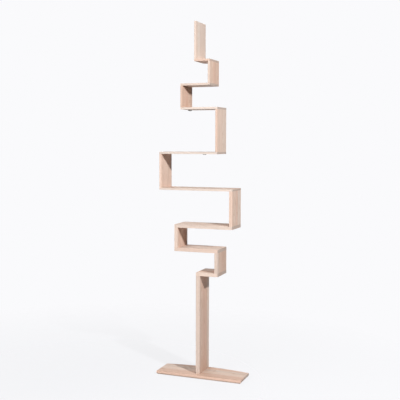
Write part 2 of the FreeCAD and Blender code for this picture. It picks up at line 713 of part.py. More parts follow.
os.makedirs("parts", exist_ok=True)
for body in sub_parts:
    body.Shape.exportStep("parts/%s.step" % body.Label)
    print(body.Label, len(body.Shape.Solids), round(body.Shape.Volume))
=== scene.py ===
"""Looks of the spine bookshelf: oiled oak boards, small steel fittings, and a plain studio."""
import functools
import math

import bmesh
import bpy
from bpy.props import FloatProperty, FloatVectorProperty, PointerProperty
from mathutils import Matrix, Vector


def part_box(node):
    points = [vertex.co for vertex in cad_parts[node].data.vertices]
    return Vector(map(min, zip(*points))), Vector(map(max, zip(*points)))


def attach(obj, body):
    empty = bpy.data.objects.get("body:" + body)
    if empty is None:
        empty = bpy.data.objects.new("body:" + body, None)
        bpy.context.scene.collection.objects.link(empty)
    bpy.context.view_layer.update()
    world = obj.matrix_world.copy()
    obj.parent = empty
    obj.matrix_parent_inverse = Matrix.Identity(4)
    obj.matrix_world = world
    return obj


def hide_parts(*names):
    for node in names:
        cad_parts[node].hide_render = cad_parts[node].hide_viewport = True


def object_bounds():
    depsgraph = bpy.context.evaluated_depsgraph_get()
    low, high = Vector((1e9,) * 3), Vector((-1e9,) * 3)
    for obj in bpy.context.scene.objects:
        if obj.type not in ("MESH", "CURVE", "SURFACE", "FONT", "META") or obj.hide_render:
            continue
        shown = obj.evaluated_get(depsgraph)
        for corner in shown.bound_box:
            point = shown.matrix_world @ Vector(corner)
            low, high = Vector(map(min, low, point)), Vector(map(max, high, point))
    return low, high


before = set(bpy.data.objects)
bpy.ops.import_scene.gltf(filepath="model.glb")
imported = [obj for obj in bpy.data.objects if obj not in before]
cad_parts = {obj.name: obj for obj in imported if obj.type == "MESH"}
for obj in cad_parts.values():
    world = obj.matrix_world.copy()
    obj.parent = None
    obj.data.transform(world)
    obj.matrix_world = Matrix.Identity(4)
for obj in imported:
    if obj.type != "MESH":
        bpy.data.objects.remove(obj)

bl_info = {
    "name": "Spine bookshelf",
    "version": (1, 0, 0),
    "blender": (4, 5, 0),
    "location": "3D View > Sidebar > Bookshelf",
    "description": "Finishes the boards and models the fittings of a zigzag oak bookshelf",
    "category": "Object",
}

CAD_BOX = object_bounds()
BODY = "root"
MM = 0.001

SHELVES = ["shelf_%d" % number for number in range(1, 9)]
UPRIGHTS = ["column"] + ["upright_%d" % number for number in range(1, 9)]
TONGUES = [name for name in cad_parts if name.startswith("tongue_")]

# each board: the plank it was cut from, which places its staves and rings, how light that plank
# is, and how much white oil it has kept
BOARD_LOOKS = {
    "base_plate": (533, 1.04, 0.0),
    "shelf_1": (624, 1.03, 0.0),
    "shelf_2": (243, 0.99, 0.18),
    "shelf_3": (606, 1.03, 0.02),
    "shelf_4": (5, 0.97, 0.22),
    "shelf_5": (6, 0.95, 0.3),
    "shelf_6": (7, 0.95, 0.3),
    "shelf_7": (8, 0.9, 0.15),
    "shelf_8": (9, 1.03, 0.12),
    "column": (11, 0.97, 0.0),
    "upright_1": (452, 0.94, 0.0),
    "upright_2": (764, 1.01, 0.05),
    "upright_3": (665, 1.01, 0.08),
    "upright_4": (155, 1.1, 0.2),
    "upright_5": (196, 0.98, 0.06),
    "upright_6": (688, 0.92, 0.0),
    "upright_7": (198, 0.98, 0.0),
    "upright_8": (600, 0.96, 0.35),
}


# ---------------------------------------------------------------- colours and nodes

def linear(code):
    """A linear RGB colour from an sRGB hex code such as #e2c3a6."""
    channels = [int(code[i:i + 2], 16) / 255 for i in (1, 3, 5)]
    return tuple(c / 12.92 if c <= 0.04045 else ((c + 0.055) / 1.055) ** 2.4 for c in channels)


def greys(*stops):
    """Stops of a ramp from (position, value) pairs."""
    return [(position, (value,) * 3) for position, value in stops]


def add_node(tree, kind, inputs=(), stops=(), **settings):
    """A node with its settings, its inputs linked or given values, and its ramp's colour stops.

    The inputs are a dict by name or a list in order. A node among them stands for its first
    output. The stops are (position, linear colour) pairs.
    """
    made = tree.nodes.new("ShaderNode" + kind)
    for name, setting in settings.items():
        setattr(made, name, setting)
    if isinstance(inputs, dict):
        pairs = [(made.inputs[name], source) for name, source in inputs.items()]
    else:
        pairs = zip([socket for socket in made.inputs if socket.enabled], inputs)
    for socket, source in pairs:
        if isinstance(source, bpy.types.Node):
            source = next(output for output in source.outputs if output.enabled)
        if isinstance(source, bpy.types.NodeSocket):
            tree.links.new(source, socket)
        elif socket.type == "RGBA":
            socket.default_value = (*source, 1.0)
        else:
            socket.default_value = source
    if stops:
        elements = made.color_ramp.elements
        while len(elements) < len(stops):
            elements.new(0.5)
        for element, (position, colour) in zip(elements, stops):
            element.position = position
            element.color = (*colour, 1.0)
    return made


def new_material(name):
    """An empty material, and the function that adds nodes to it."""
    material = bpy.data.materials.new(name)
    material.use_nodes = True
    material.node_tree.nodes.clear()
    return material, functools.partial(add_node, material.node_tree)


def layered(add, colour, *layers):
    """A colour with others laid over it: where each one lies, how much of it, and its colour."""
    for where, share, layer in layers:
        amount = add("Math", [where, share], operation="MULTIPLY")
        colour = add("Mix", [amount, colour, layer], data_type="RGBA")
    return colour


def dress(node_name, material):
    """Give every slot of a CAD node the material."""
    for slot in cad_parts[node_name].material_slots:
        slot.material = material


# ---------------------------------------------------------------- settings

class OakSettings(bpy.types.PropertyGroup):
    """Sizes and colours of the oak boards."""
    stave_width: FloatProperty(
        name="Stave width", description="Width of the glued staves of a board",
        default=42 * MM, unit="LENGTH")
    ring_width: FloatProperty(
        name="Ring width", description="Growth of the tree in one year",
        default=3.4 * MM, unit="LENGTH")
    pore_length: FloatProperty(
        name="Pore length", description="Length of an open pore along the grain",
        default=14 * MM, unit="LENGTH")
    pore_width: FloatProperty(
        name="Pore width", description="Width of an open pore, drawn about twice as wide as real",
        default=0.6 * MM, unit="LENGTH")
    pale: FloatVectorProperty(
        name="Pale stave", description="Colour of the palest staves",
        default=linear("#eddacd"), subtype="COLOR")
    sand: FloatVectorProperty(
        name="Sand stave", description="Colour of the plain staves",
        default=linear("#e4c8b7"), subtype="COLOR")
    rose: FloatVectorProperty(
        name="Rose stave", description="Colour of the pinkish staves",
        default=linear("#e2beab"), subtype="COLOR")
    ash: FloatVectorProperty(
        name="Ash stave", description="Colour of the greyish staves",
        default=linear("#dbcdc3"), subtype="COLOR")
    early_wood: FloatVectorProperty(
        name="Early wood", description="Tint of the porous spring growth",
        default=linear("#c79f7e"), subtype="COLOR")
    pore: FloatVectorProperty(
        name="Pore", description="Colour inside the open pores",
        default=linear("#8d6a4d"), subtype="COLOR")
    glue: FloatVectorProperty(
        name="Glue line", description="Colour of the glue lines between the staves",
        default=linear("#9b7a5f"), subtype="COLOR")
    white_oil: FloatVectorProperty(
        name="White oil", description="Colour that the white oil leaves on the wood",
        default=linear("#efe6de"), subtype="COLOR")
    end_grain: FloatVectorProperty(
        name="End grain", description="Tint of the board ends, which drink more oil",
        default=linear("#ae9c91"), subtype="COLOR")
    # painted shade: this darker colour stands for the shade on the base plate's bevel and in the
    # gap over the floor
    foot: FloatVectorProperty(
        name="Foot", description="Colour of the base plate low down, where mopping has darkened it",
        default=linear("#a08a78"), subtype="COLOR")


class FittingSettings(bpy.types.PropertyGroup):
    """Sizes and colours of the steel, brass and felt fittings and of the plywood tongues."""
    strip: FloatProperty(
        name="Strip", description="Thickness of the steel strip of a strap loop",
        default=1.5 * MM, unit="LENGTH")
    foot: FloatProperty(
        name="Foot", description="Length of each screwed foot of a strap loop",
        default=7 * MM, unit="LENGTH")
    foot_corner: FloatProperty(
        name="Foot corner", description="Radius on the corners of the feet",
        default=2.6 * MM, unit="LENGTH")
    bend: FloatProperty(
        name="Bend", description="Radius of the bends at the middle of the strip",
        default=1.1 * MM, unit="LENGTH")
    screw_shank: FloatProperty(
        name="Screw thread", description="Outside diameter of the thread of a loop screw",
        default=3 * MM, unit="LENGTH")
    screw_pitch: FloatProperty(
        name="Screw pitch", description="Distance between the turns of a loop screw's thread",
        default=1.35 * MM, unit="LENGTH")
    screw_head: FloatProperty(
        name="Screw head", description="Height of the pan head of a loop screw",
        default=1.8 * MM, unit="LENGTH")
    bolt_shank: FloatProperty(
        name="Bolt thread", description="Outside diameter of the thread of a base bolt",
        default=8 * MM, unit="LENGTH")
    bolt_pitch: FloatProperty(
        name="Bolt pitch", description="Distance between the turns of a base bolt's thread",
        default=1.25 * MM, unit="LENGTH")
    bolt_socket: FloatProperty(
        name="Bolt socket", description="Hexagon socket of a base bolt, across its flats",
        default=5 * MM, unit="LENGTH")
    bolt_socket_depth: FloatProperty(
        name="Socket depth", description="Depth of the hexagon socket",
        default=3 * MM, unit="LENGTH")
    insert_bore: FloatProperty(
        name="Insert bore", description="Bore of a threaded insert",
        default=8.1 * MM, unit="LENGTH")
    insert_pitch: FloatProperty(
        name="Insert pitch", description="Distance between the turns of an insert's outer thread",
        default=3 * MM, unit="LENGTH")
    zinc: FloatVectorProperty(
        name="Zinc", description="Colour of the zinc plating on the bolts",
        default=linear("#c6cbd0"), subtype="COLOR")
    black_oxide: FloatVectorProperty(
        name="Black oxide", description="Colour of the burnished steel loops and screws",
        default=linear("#3a3430"), subtype="COLOR")
    brass: FloatVectorProperty(
        name="Brass", description="Colour of the turned brass inserts",
        default=linear("#d1ae6b"), subtype="COLOR")
    felt: FloatVectorProperty(
        name="Felt", description="Colour of the pressed felt pads",
        default=linear("#5a4e43"), subtype="COLOR")
    veneer: FloatVectorProperty(
        name="Birch veneer", description="Colour of the birch plies of the tongues",
        default=linear("#dfc7a0"), subtype="COLOR")
    ply: FloatProperty(
        name="Ply", description="Thickness of one ply of the tongues",
        default=1.3 * MM, unit="LENGTH")


class StageSettings(bpy.types.PropertyGroup):
    """Camera, lamps, floor and room."""
    eye: FloatVectorProperty(
        name="Eye", description="Place of the camera",
        default=(1.5913, -4.1780, 1.4155), subtype="TRANSLATION", unit="LENGTH")
    turn: FloatProperty(
        name="Turn", description="Camera turned to the left from looking straight at the front",
        default=math.radians(21.1363), subtype="ANGLE", unit="ROTATION")
    tilt: FloatProperty(
        name="Tilt", description="Camera tilted up from level",
        default=math.radians(-4.4367), subtype="ANGLE", unit="ROTATION")
    roll: FloatProperty(
        name="Roll", description="Camera rolled anticlockwise",
        default=math.radians(0.1108), subtype="ANGLE", unit="ROTATION")
    lens: FloatProperty(
        name="Lens", description="Focal length on a 36 mm sensor",
        default=67.383, unit="CAMERA")
    floor_middle: FloatVectorProperty(
        name="Floor middle", description="Place around which the floor fades",
        default=(-0.5, -0.35, 0.0), subtype="TRANSLATION", unit="LENGTH")
    floor_radius: FloatProperty(
        name="Floor radius", description="Radius at which the floor has faded away",
        default=2.25, unit="LENGTH")
    floor_paint: FloatVectorProperty(
        name="Floor paint", description="Colour of the floor, which bounces light and takes shadow",
        default=linear("#eceef3"), subtype="COLOR")
    floor_glow: FloatVectorProperty(
        name="Floor glow", description="White that is seen over the floor's paint",
        default=linear("#fdfdff"), subtype="COLOR")
    glow_share: FloatProperty(
        name="Glow share", description="How much of the seen floor is glow, which softens shadows",
        default=0.78, subtype="FACTOR")
    room: FloatVectorProperty(
        name="Room", description="Colour of the room behind",
        default=linear("#fafafc"), subtype="COLOR")
    key_place: FloatVectorProperty(
        name="Key lamp", description="Place of the small hard lamp on the right",
        default=(2.19, -1.50, 2.32), subtype="TRANSLATION", unit="LENGTH")
    key_power: FloatProperty(
        name="Key power", description="Power of the key lamp",
        default=76.0, unit="POWER")
    key_size: FloatProperty(
        name="Key size", description="Diameter of the key lamp",
        default=0.16, unit="LENGTH")
    front_place: FloatVectorProperty(
        name="Front lamp", description="Place of the large lamp in front",
        default=(-1.4, -4.2, 1.5), subtype="TRANSLATION", unit="LENGTH")
    front_power: FloatProperty(
        name="Front power", description="Power of the large lamp in front",
        default=113.0, unit="POWER")
    front_size: FloatProperty(
        name="Front size", description="Side of the large lamp in front",
        default=3.0, unit="LENGTH")
    top_place: FloatVectorProperty(
        name="Top lamp", description="Place of the large lamp overhead",
        default=(-0.2, -0.6, 4.4), subtype="TRANSLATION", unit="LENGTH")
    top_power: FloatProperty(
        name="Top power", description="Power of the large lamp overhead",
        default=29.0, unit="POWER")
    top_size: FloatProperty(
        name="Top size", description="Side of the large lamp overhead",
        default=3.0, unit="LENGTH")
    back_place: FloatVectorProperty(
        name="Back lamp", description="Place of the large lamp behind on the left",
        default=(-2.4, 3.0, 1.9), subtype="TRANSLATION", unit="LENGTH")
    back_power: FloatProperty(
        name="Back power", description="Power of the large lamp behind on the left",
        default=68.0, unit="POWER")
    back_size: FloatProperty(
        name="Back size", description="Side of the large lamp behind on the left",
        default=2.4, unit="LENGTH")


# ---------------------------------------------------------------- oak

def oak_figure(add, oak, plank, plank_place):
    """The figure of the wood: each stave's chance, its early wood, pores, streaks, flecks, glue.

    The place is in millimetres: X along the grain, Y across the board, Z through it.
    """
    stave_mm = oak.stave_width / MM
    pore_mm = (oak.pore_length / MM, oak.pore_width / MM, oak.pore_width / MM)
    axes = add("SeparateXYZ", [plank_place]).outputs
    across, through = axes["Y"], axes["Z"]

    # staves up to a fifth wider or narrower, by turns over some 200 mm, each with its own chance
    swing = add("Math", [across, 0.031], operation="MULTIPLY")
    sway = add("Math", [swing], operation="SINE")
    uneven = add("Math", [sway, 7.0, across], operation="MULTIPLY_ADD")
    count = add("Math", [uneven, stave_mm], operation="DIVIDE")
    stave = add("Math", [count], operation="FLOOR")
    in_stave = add("Math", [count, stave], operation="SUBTRACT")
    key = add("CombineXYZ", [stave, 3.7 * plank, 0.5])
    chance = add("TexWhiteNoise", {"Vector": key}, noise_dimensions="3D")
    chances = chance.outputs["Color"]

    # each stave comes from another place in 3 m of log
    in_log = add("VectorMath", [chances, (3000.0, 0.0, 0.0), plank_place], operation="MULTIPLY_ADD")

    # growth rings round the pith, which lies outside the stave and wanders by 23 mm along it
    drift_place = add("VectorMath", [in_log, (420.0, 70.0, 70.0)], operation="DIVIDE")
    drift = add("TexNoise", {"Vector": drift_place, "Scale": 1.0, "Detail": 2.0, "Roughness": 0.45})
    wander = add("Math", [drift, 46.0, -23.0], operation="MULTIPLY_ADD")
    middle = add("Math", [in_stave, stave_mm, -stave_mm / 2], operation="MULTIPLY_ADD")
    level = add("Math", [through, wander], operation="ADD")
    in_ring = add("CombineXYZ", [0.0, middle, level])
    pith = add("VectorMath", [chances, (0.0, 60.0, -90.0), (0.0, -30.0, -18.0)],
               operation="MULTIPLY_ADD")
    from_pith = add("VectorMath", [in_ring, pith], operation="SUBTRACT")
    radius = add("VectorMath", [from_pith], operation="LENGTH")
    years = add("Math", [radius, oak.ring_width / MM], operation="DIVIDE")
    season = add("Math", [years], operation="FRACT")
    early = add("ValToRGB", [season],
                greys((0.0, 0.15), (0.10, 1.0), (0.34, 0.55), (0.62, 0.08), (1.0, 0.0)))

    # open pores: thin streaks along the grain, dots on the ends, most of them in the early wood
    pore_place = add("VectorMath", [in_log, pore_mm], operation="DIVIDE")
    pores = add("TexNoise", {"Vector": pore_place, "Scale": 1.0, "Detail": 1.0, "Roughness": 0.5})
    opened = add("ValToRGB", [pores], greys((0.0, 0.0), (0.56, 0.0), (0.66, 1.0), (1.0, 1.0)))
    crowding = add("Math", [early, 0.8, 0.2], operation="MULTIPLY_ADD")
    pore = add("Math", [opened, crowding], operation="MULTIPLY")

    # broad streaks of colour that follow the grain, some 12 mm apart
    streak_place = add("VectorMath", [in_log, (500.0, 12.0, 12.0)], operation="DIVIDE")
    streaks = add("TexNoise", {
        "Vector": streak_place, "Scale": 1.0, "Detail": 3.0, "Roughness": 0.55})

    # ray flecks: pale silky dashes across the grain, 7 by 3 mm
    ray_place = add("VectorMath", [in_log, (7.0, 3.0, 3.0)], operation="DIVIDE")
    rays = add("TexVoronoi", {"Vector": ray_place, "Scale": 1.0}, feature="F1")
    flecks = add("ValToRGB", [rays], greys((0.0, 1.0), (0.16, 0.3), (0.24, 0.0), (1.0, 0.0)))

    # glue lines 0.3 mm to each side of where two staves meet
    ahead = add("Math", [1.0, in_stave], operation="SUBTRACT")
    to_line = add("Math", [in_stave, ahead], operation="MINIMUM")
    glue = add("Math", [to_line, 0.3 / stave_mm], operation="LESS_THAN")
    return chance, early, pore, streaks, flecks, glue


def painted_foot_shade(add, place):
    """Painted shade close to the floor: how much the wood is darkened there, most on the bevel,
    gone 11 mm up.
    """
    # noise makes the top edge of the painted shade ragged
    shade_edge_noise = add("TexNoise", {"Vector": place, "Scale": 1 / (25 * MM), "Detail": 3.0})
    height = add("SeparateXYZ", [place]).outputs["Z"]
    ragged = add("Math", [shade_edge_noise, 4 * MM, height], operation="MULTIPLY_ADD")
    return add("MapRange", {"Value": ragged, "From Min": 10 * MM, "From Max": 13 * MM,
                            "To Min": 0.65, "To Max": 0.0})


def oak_material(board, grain_axis):
    """White-oiled solid oak, glued up from staves: straight grain, porous rings, silky flecks.

    Oak shows each year as a band of open pores and a band of dense wood. Each stave comes from
    another part of the log, so its rings curve round another pith and its tint differs a little.
    """
    oak = bpy.context.scene.bookshelf_oak
    material, add = new_material("oiled_oak_" + board)
    plank, tone, oil_kept = BOARD_LOOKS[board]
    grain_turn = math.radians(90) if grain_axis == "Z" else 0.0
    coordinates = add("TexCoord").outputs
    place = coordinates["Object"]
    # each plank has a place of its own in the pattern, where its staves and rings begin
    plank_place = add("Mapping", {
        "Vector": place, "Location": (0.0, 17.0 * plank, 0.0),
        "Rotation": (0.0, grain_turn, 0.0), "Scale": (1 / MM,) * 3})
    chance, early, pore, streaks, flecks, glue = oak_figure(add, oak, plank, plank_place)

    # end grain: faces that look along the grain
    facing = add("SeparateXYZ", [coordinates["Normal"]]).outputs[grain_axis]
    lengthwise = add("Math", [facing], operation="ABSOLUTE")
    at_end = add("Math", [lengthwise, 6.0], operation="POWER")

    tint = add("ValToRGB", [chance], [(0.0, oak.ash), (0.3, oak.pale), (0.55, oak.sand),
                                      (0.8, oak.rose), (1.0, oak.sand)])
    tint = layered(add, tint, (streaks, 0.5, oak.sand), (early, 0.38, oak.early_wood))
    lightness = add("MapRange", {
        "Value": streaks, "From Min": 0.3, "From Max": 0.7,
        "To Min": 0.93 * tone, "To Max": 1.06 * tone})
    toned = add("VectorMath", [tint, lightness], operation="SCALE")
    colour = layered(
        add, toned, (flecks, 0.25, oak.pale), (pore, 0.45, oak.pore), (glue, 0.35, oak.glue),
        (1.0, oil_kept, oak.white_oil), (at_end, 0.58, oak.end_grain))
    # painted shade along the foot of the base plate, where it stands over the floor
    if board == "base_plate":
        colour = layered(add, colour, (painted_foot_shade(add, place), 1.0, oak.foot))

    hollow = add("Math", [early, -0.3], operation="MULTIPLY")
    height = add("Math", [pore, -1.0, hollow], operation="MULTIPLY_ADD")
    bump = add("Bump", {"Height": height, "Strength": 0.5, "Distance": 0.12 * MM})
    rough = add("Math", [early, 0.1, 0.68], operation="MULTIPLY_ADD")
    rougher = add("Math", [pore, 0.25, rough], operation="MULTIPLY_ADD")
    shader = add("BsdfPrincipled", {
        "Base Color": colour, "Roughness": rougher, "Normal": bump, "IOR": 1.5,
        "Specular IOR Level": 0.2})
    add("OutputMaterial", {"Surface": shader})
    return material


class BOOKSHELF_OT_boards(bpy.types.Operator):
    """Finish the base plate, the column, the shelves and the uprights in oiled oak"""
    bl_idname = "bookshelf.boards"
    bl_label = "Oak boards"

    def execute(self, context):
        for name in ["base_plate"] + SHELVES:
            dress(name, oak_material(name, "X"))
        for name in UPRIGHTS:
            dress(name, oak_material(name, "Z"))
        return {"FINISHED"}


# ---------------------------------------------------------------- finishes of the fittings

def zinc_plated_steel():
    """Bright zinc plating: a cool grey metal, finely mottled where the crystals differ."""
    fittings = bpy.context.scene.bookshelf_fittings
    material, add = new_material("zinc_plated_steel")
    place = add("TexCoord").outputs["Object"]
    mottle = add("TexNoise", {"Vector": place, "Scale": 1 / (1.2 * MM), "Detail": 4.0})
    scuffs = add("TexNoise", {
        "Vector": place, "Scale": 1 / (6 * MM), "Detail": 6.0, "Roughness": 0.7})
    tint = layered(add, fittings.zinc, (mottle, 1.0, linear("#9ea5ad")))
    bump = add("Bump", {"Height": mottle, "Strength": 0.3, "Distance": 0.02 * MM})
    roughness = add("Math", [scuffs, 0.3, 0.2], operation="MULTIPLY_ADD")
    shader = add("BsdfPrincipled", {
        "Base Color": tint, "Metallic": 1.0, "Normal": bump, "Roughness": roughness})
    add("OutputMaterial", {"Surface": shader})
    return material


def burnished_steel():
    """Mild steel under black oxide: nearly black, a little brown where handling has worn it."""
    fittings = bpy.context.scene.bookshelf_fittings
    material, add = new_material("burnished_steel")
    place = add("TexCoord").outputs["Object"]
    patches = add("TexNoise", {
        "Vector": place, "Scale": 1 / (4 * MM), "Detail": 5.0, "Roughness": 0.6})
    worn = add("ValToRGB", [patches], greys((0.0, 0.0), (0.5, 0.0), (0.72, 0.6), (1.0, 0.8)))
    grit = add("TexNoise", {"Vector": place, "Scale": 1 / (0.35 * MM), "Detail": 2.0})
    tint = layered(add, fittings.black_oxide, (worn, 1.0, linear("#77695c")))
    bump = add("Bump", {"Height": grit, "Strength": 0.4, "Distance": 0.03 * MM})
    roughness = add("Math", [grit, 0.25, 0.36], operation="MULTIPLY_ADD")
    shader = add("BsdfPrincipled", {
        "Base Color": tint, "Metallic": 0.85, "Normal": bump, "Roughness": roughness})
    add("OutputMaterial", {"Surface": shader})
    return material


def turned_brass():
    """Brass off the lathe: a warm metal with fine tool rings 0.25 mm apart."""
    fittings = bpy.context.scene.bookshelf_fittings
    material, add = new_material("turned_brass")
    place = add("TexCoord").outputs["Object"]
    # a band texture of scale 1 repeats every 0.314 units
    rings = add("TexWave", {
        "Vector": place, "Scale": 0.314 / (0.25 * MM), "Distortion": 0.6, "Detail": 1.0},
        wave_type="BANDS", bands_direction="Z").outputs["Fac"]
    tarnish = add("TexNoise", {"Vector": place, "Scale": 1 / (7 * MM), "Detail": 4.0})
    tint = layered(add, fittings.brass, (tarnish, 1.0, linear("#b18b4a")))
    bump = add("Bump", {"Height": rings, "Strength": 0.3, "Distance": 0.02 * MM})
    roughness = add("Math", [tarnish, 0.3, 0.18], operation="MULTIPLY_ADD")
    shader = add("BsdfPrincipled", {
        "Base Color": tint, "Metallic": 1.0, "Normal": bump, "Roughness": roughness})
    add("OutputMaterial", {"Surface": shader})
    return material


def pressed_felt():
    """Wool felt: matt, tangled fibres a few tenths of a millimetre thick, paler where they lift."""
    fittings = bpy.context.scene.bookshelf_fittings
    material, add = new_material("pressed_felt")
    place = add("TexCoord").outputs["Object"]
    tangle = add("TexNoise", {
        "Vector": place, "Scale": 1 / (0.7 * MM), "Detail": 5.0, "Roughness": 0.65,
        "Distortion": 2.5})
    tufts = add("TexNoise", {"Vector": place, "Scale": 1 / (5 * MM), "Detail": 2.0})
    fine = add("Math", [tangle, 0.6], operation="MULTIPLY")
    mixed = add("Math", [tufts, 0.4, fine], operation="MULTIPLY_ADD")
    tint = add("ValToRGB", [mixed], [
        (0.3, linear("#3e352d")), (0.5, fittings.felt), (0.7, linear("#7a6b5c"))])
    bump = add("Bump", {"Height": tangle, "Strength": 0.9, "Distance": 0.2 * MM})
    shader = add("BsdfPrincipled", {
        "Base Color": tint, "Roughness": 0.95, "Normal": bump, "Sheen Weight": 0.35,
        "Sheen Roughness": 0.6, "Specular IOR Level": 0.1})
    add("OutputMaterial", {"Surface": shader})
    return material


def birch_plywood(name, middle):
    """Birch plies pressed across each other: pale veneers, darker end-grain ones, glue between."""
    fittings = bpy.context.scene.bookshelf_fittings
    material, add = new_material(name)
    place = add("Mapping", {
        "Vector": add("TexCoord").outputs["Object"], "Location": (-middle, 0.0, 0.0)})
    depth = add("SeparateXYZ", [place]).outputs["X"]
    plies = add("Math", [depth, 1 / fittings.ply, 0.5], operation="MULTIPLY_ADD")
    in_ply = add("Math", [plies], operation="FRACT")
    ply = add("Math", [plies], operation="FLOOR")
    pair = add("Math", [ply, 0.5], operation="MULTIPLY")
    crossed = add("Math", [pair], operation="FRACT")
    ahead = add("Math", [1.0, in_ply], operation="SUBTRACT")
    to_glue = add("Math", [in_ply, ahead], operation="MINIMUM")
    glue = add("Math", [to_glue, 0.06], operation="LESS_THAN")
    grain_place = add("VectorMath", [place, (0.8 * MM, 18 * MM, 0.8 * MM)], operation="DIVIDE")
    grain = add("TexNoise", {"Vector": grain_place, "Scale": 1.0, "Detail": 3.0})
    tint = layered(
        add, fittings.veneer, (crossed, 1.1, linear("#c8a678")), (grain, 0.35, linear("#c9aa7e")),
        (glue, 0.7, linear("#7d5b3c")))
    bump = add("Bump", {"Height": grain, "Strength": 0.4, "Distance": 0.05 * MM})
    shader = add("BsdfPrincipled", {
        "Base Color": tint, "Roughness": 0.62, "Normal": bump, "IOR": 1.5,
        "Specular IOR Level": 0.3})
    add("OutputMaterial", {"Surface": shader})
    return material


# ---------------------------------------------------------------- making the fittings

def solids_of(node_name):
    """The lowest and highest corner of each separate solid of a CAD node, sorted by place."""
    shape = bmesh.new()
    shape.from_mesh(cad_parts[node_name].data)
    bmesh.ops.remove_doubles(shape, verts=shape.verts, dist=0.001 * MM)
    waiting = set(shape.verts)
    boxes = []
    while waiting:
        solid = set()
        reached = [waiting.pop()]
        while reached:
            corner = reached.pop()
            solid.add(corner)
            fresh = [e.other_vert(corner) for e in corner.link_edges]
            fresh = [v for v in fresh if v in waiting]
            waiting.difference_update(fresh)
            reached.extend(fresh)
        low = Vector([min(v.co[axis] for v in solid) for axis in range(3)])
        high = Vector([max(v.co[axis] for v in solid) for axis in range(3)])
        boxes.append((low, high))
    shape.free()
    return sorted(boxes, key=lambda box: tuple(round(value, 5) for value in box[0]))


def undersides(solids, lift=0.0):
    """The middle of the underside of each solid, raised by a lift."""
    return [Vector(((low.x + high.x) / 2, (low.y + high.y) / 2, low.z + lift))
            for low, high in solids]


def make_active(piece):
    """Select one piece alone, in object mode."""
    if bpy.context.mode != "OBJECT":
        bpy.ops.object.mode_set(mode="OBJECT")
    bpy.ops.object.select_all(action="DESELECT")
    piece.select_set(True)
    bpy.context.view_layer.objects.active = piece


def edit_whole():
    """Go into edit mode with all of the piece selected."""
    bpy.ops.object.mode_set(mode="EDIT")
    bpy.ops.mesh.select_all(action="SELECT")


def select_only(piece, elements, wanted):
    """In edit mode, select the vertices, edges or faces that are wanted and nothing else."""
    bpy.ops.mesh.select_all(action="DESELECT")
    shape = bmesh.from_edit_mesh(piece.data)
    for element in getattr(shape, elements):
        if wanted(element):
            element.select_set(True)
    bmesh.update_edit_mesh(piece.data)


def resize_about(value, centre=(0.0, 0.0, 0.0)):
    """Resize what is selected about a centre."""
    bpy.ops.transform.resize(value=value, center_override=centre)


def extrude_by(step):
    """Pull what is selected out by a step."""
    bpy.ops.mesh.extrude_region_move(TRANSFORM_OT_translate={"value": step})


def face_outwards():
    """Turn every face of the piece outwards, and leave edit mode."""
    bpy.ops.mesh.select_all(action="SELECT")
    bpy.ops.mesh.normals_make_consistent(inside=False)
    bpy.ops.object.mode_set(mode="OBJECT")


def apply_modifier(piece, name, kind, **settings):
    """Give one piece a modifier with its settings, and apply it."""
    make_active(piece)
    modifier = piece.modifiers.new(name, kind)
    for setting, value in settings.items():
        setattr(modifier, setting, value)
    bpy.ops.object.modifier_apply(modifier=name)


def turned(name, rings, vertices=32):
    """A solid turned about Z: a flat round face pulled through (radius, height) rings."""
    bpy.ops.object.select_all(action="DESELECT")
    radius, height = rings[0]
    bpy.ops.mesh.primitive_circle_add(vertices=vertices, radius=radius, fill_type="NGON",
                                      location=(0.0, 0.0, height))
    piece = bpy.context.active_object
    piece.name = name
    bpy.ops.object.transform_apply(location=True, rotation=False, scale=False)
    edit_whole()
    for next_radius, next_height in rings[1:]:
        extrude_by((0.0, 0.0, next_height - height))
        ratio = next_radius / radius
        resize_about((ratio, ratio, 1.0), (0.0, 0.0, next_height))
        radius, height = next_radius, next_height
    face_outwards()
    return piece


def thread(name, root, crest, pitch, low, high, steps=16):
    """A ridge wound round Z from one height to another, sunk a little into its core.

    It is four fifths of the pitch wide at its root and narrows to a sharp crest.
    """
    bpy.ops.object.select_all(action="DESELECT")
    depth = (crest - root) * 1.15
    bpy.ops.mesh.primitive_plane_add(size=1.0)
    ridge = bpy.context.active_object
    ridge.name = name
    edit_whole()
    resize_about((depth, pitch * 0.8, 1.0))
    bpy.ops.transform.translate(value=(crest - depth / 2, 0.0, 0.0))
    select_only(ridge, "verts", lambda vertex: vertex.co.x > crest - depth / 2)
    resize_about((1.0, 0.15, 1.0))
    bpy.ops.object.mode_set(mode="OBJECT")
    ridge.rotation_euler = (math.radians(90), 0.0, 0.0)
    ridge.location = (0.0, 0.0, low + pitch / 2)
    bpy.ops.object.transform_apply(location=True, rotation=True, scale=False)
    turns = max(1, int((high - low) / pitch) - 1)
    apply_modifier(ridge, "winding", "SCREW", axis="Z", screw_offset=pitch, iterations=turns,
                   steps=steps, render_steps=steps, use_smooth_shade=True)
    edit_whole()
    bpy.ops.mesh.fill_holes(sides=4)
    face_outwards()
    return ridge


def cut_away(piece, cutter):
    """Cut one piece with another, which is used up."""
    apply_modifier(piece, "cut", "BOOLEAN", operation="DIFFERENCE", object=cutter, solver="EXACT")
    bpy.data.objects.remove(cutter)


def join_into(piece, other):
    """Make another object part of a piece."""
    make_active(piece)
    other.select_set(True)
    bpy.ops.object.join()


def smooth_round(piece, angle=35):
    """Shade smooth except across edges sharper than the angle."""
    make_active(piece)
    bpy.ops.object.shade_smooth_by_angle(angle=math.radians(angle))


def set_out(master, node_name, places, material):
    """Put a copy of the master at each place, each with its own mesh, for one CAD node."""
    master.data.materials.clear()
    master.data.materials.append(material)
    name = master.name
    for number, place in enumerate(places, start=1):
        mesh = master.data.copy()
        mesh.transform(Matrix.Translation(place))
        piece = bpy.data.objects.new("%s_%d" % (name, number), mesh)
        bpy.context.scene.collection.objects.link(piece)
        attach(piece, BODY)
        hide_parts(node_name)


